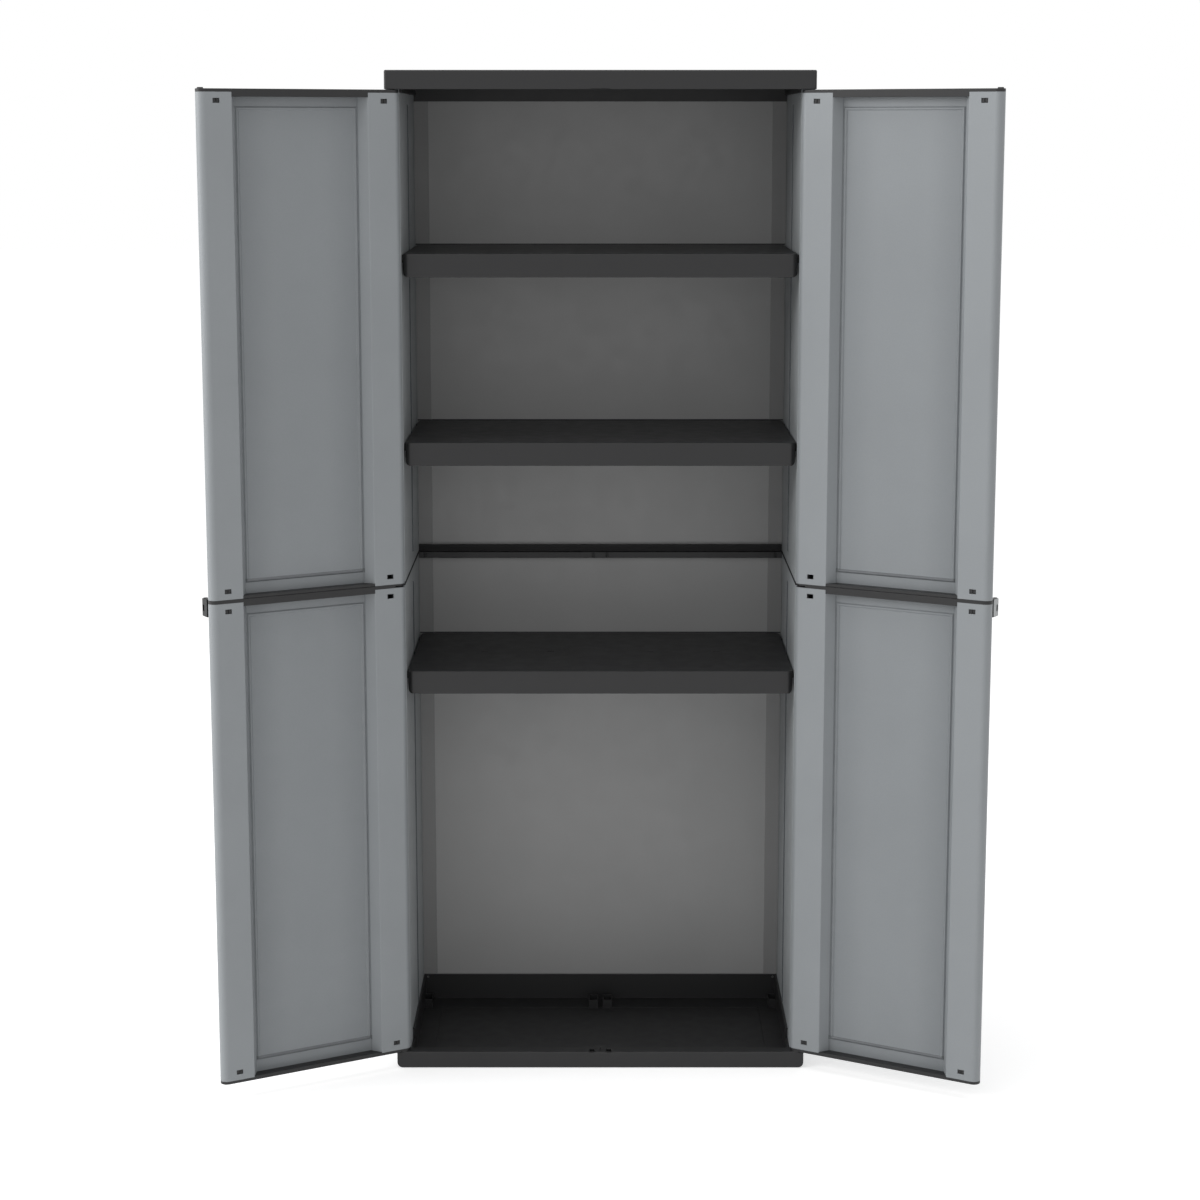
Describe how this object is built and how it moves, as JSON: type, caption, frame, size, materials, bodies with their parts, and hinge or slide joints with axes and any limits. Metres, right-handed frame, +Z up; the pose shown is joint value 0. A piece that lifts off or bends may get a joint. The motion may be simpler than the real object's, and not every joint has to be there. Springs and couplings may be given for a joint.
{
  "type": "garden storage cabinet",
  "caption": "Tall outdoor utility cabinet in moulded panels with lift-out shelves behind a pair of hinged doors, on a tray base under a flat cap roof.",
  "frame": {"origin": "centre of the base's underside, on the floor", "axes": "+Z up, -Y to the front where the doors open, +X to the right as seen from the front"},
  "size_m": [1.2546, 0.5335, 1.64],
  "materials": {
    "grey_polypropylene": "fine satin grain",
    "black_polypropylene": "fine satin grain",
    "zinc_plated_steel": "satin"
  },
  "bodies": {
    "cabinet": {"base_tray": "black_polypropylene", "roof": "black_polypropylene", "left_side_lower_panel": "grey_polypropylene", "left_side_upper_panel": "grey_polypropylene", "right_side_lower_panel": "grey_polypropylene", "right_side_upper_panel": "grey_polypropylene", "back_lower_panel": "grey_polypropylene", "back_upper_panel": "grey_polypropylene", "left_side_joiner": "black_polypropylene", "right_side_joiner": "black_polypropylene", "back_joiner": "black_polypropylene", "bottom_shelf_supports": "black_polypropylene", "middle_shelf_supports": "black_polypropylene", "top_shelf_supports": "black_polypropylene"},
    "left_door": {"left_door_lower_panel": "grey_polypropylene", "left_door_upper_panel": "grey_polypropylene", "left_door_bottom_cap": "black_polypropylene", "left_door_joiner": "black_polypropylene", "left_door_top_cap": "black_polypropylene", "left_hasp_plate": "zinc_plated_steel"},
    "right_door": {"right_door_lower_panel": "grey_polypropylene", "right_door_upper_panel": "grey_polypropylene", "right_door_bottom_cap": "black_polypropylene", "right_door_joiner": "black_polypropylene", "right_door_top_cap": "black_polypropylene", "right_hasp_plate": "zinc_plated_steel"},
    "bottom_shelf": {"bottom_shelf": "black_polypropylene"},
    "middle_shelf": {"middle_shelf": "black_polypropylene"},
    "top_shelf": {"top_shelf": "black_polypropylene"}
  },
  "joints": [
    {"name": "left_door_hinge", "type": "hinge", "parent": "cabinet", "child": "left_door", "pos_m": [-0.329, -0.1765, 0.82], "axis": [0, 0, 1], "range_deg": [-30, 150]},
    {"name": "right_door_hinge", "type": "hinge", "parent": "cabinet", "child": "right_door", "pos_m": [0.329, -0.1765, 0.82], "axis": [0, 0, -1], "range_deg": [-30, 150]},
    {"name": "bottom_shelf_lift", "type": "slide", "parent": "cabinet", "child": "bottom_shelf", "axis": [0, 0, 1], "range_m": [0, 0.05]},
    {"name": "middle_shelf_lift", "type": "slide", "parent": "cabinet", "child": "middle_shelf", "axis": [0, 0, 1], "range_m": [0, 0.05]},
    {"name": "top_shelf_lift", "type": "slide", "parent": "cabinet", "child": "top_shelf", "axis": [0, 0, 1], "range_m": [0, 0.05]}
  ]
}
